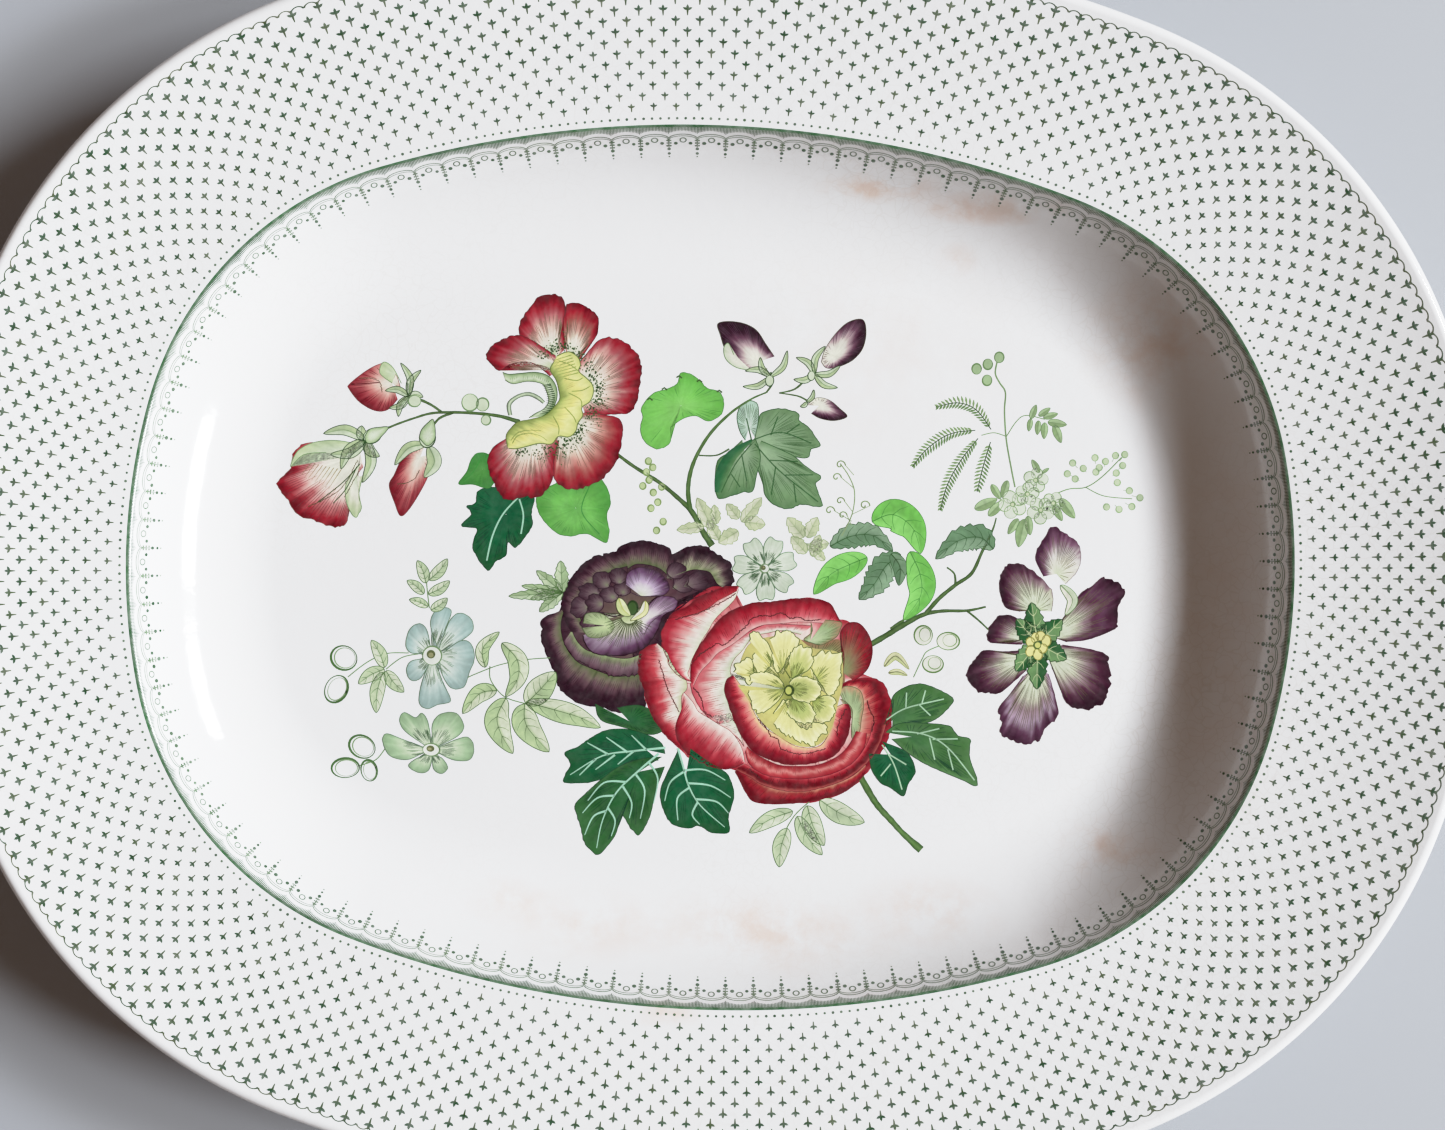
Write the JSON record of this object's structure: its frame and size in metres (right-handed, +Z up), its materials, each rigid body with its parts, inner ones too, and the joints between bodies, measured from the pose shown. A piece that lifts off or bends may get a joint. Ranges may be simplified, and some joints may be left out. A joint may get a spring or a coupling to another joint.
{
  "type": "oval serving platter",
  "caption": "Oval glazed earthenware serving platter with a broad sloping rim, a sunken well, a foot ring and a printed and painted flower pattern.",
  "frame": {"origin": "centre of the platter's outline, on the plane its foot ring stands on", "axes": "+X along the platter's long axis, +Y across it towards the top of the pattern, +Z up out of the well"},
  "size_m": [0.469, 0.382, 0.0432],
  "materials": {
    "clay": "matt fired clay, seen on the wiped foot ring",
    "glaze": "glossy clear glaze over white ware, finely crazed",
    "green_print": "grey-green transfer print under a gloss",
    "pale_print": "pale green transfer print under a gloss",
    "line_print": "brown-green line under a gloss",
    "deep_green": "dark green painted colour, glossy",
    "bright_green": "bright green painted colour, glossy",
    "crimson": "crimson painted colour, glossy",
    "purple": "purple painted colour, glossy",
    "yellow": "pale yellow painted colour, glossy"
  },
  "bodies": {
    "root": {"body": "clay", "face_glaze": "glaze", "back_glaze": "glaze", "recess_glaze": "glaze", "edge_line_print": "line_print", "sprig_print": "pale_print", "bead_print": "green_print", "verge_line_print": "green_print", "lace_print": "pale_print", "stem_print": "green_print", "pale_spray_print": "pale_print", "deep_green_enamel": "deep_green", "bright_green_enamel": "bright_green", "crimson_enamel": "crimson", "purple_enamel": "purple", "yellow_enamel": "yellow"}
  },
  "joints": []
}
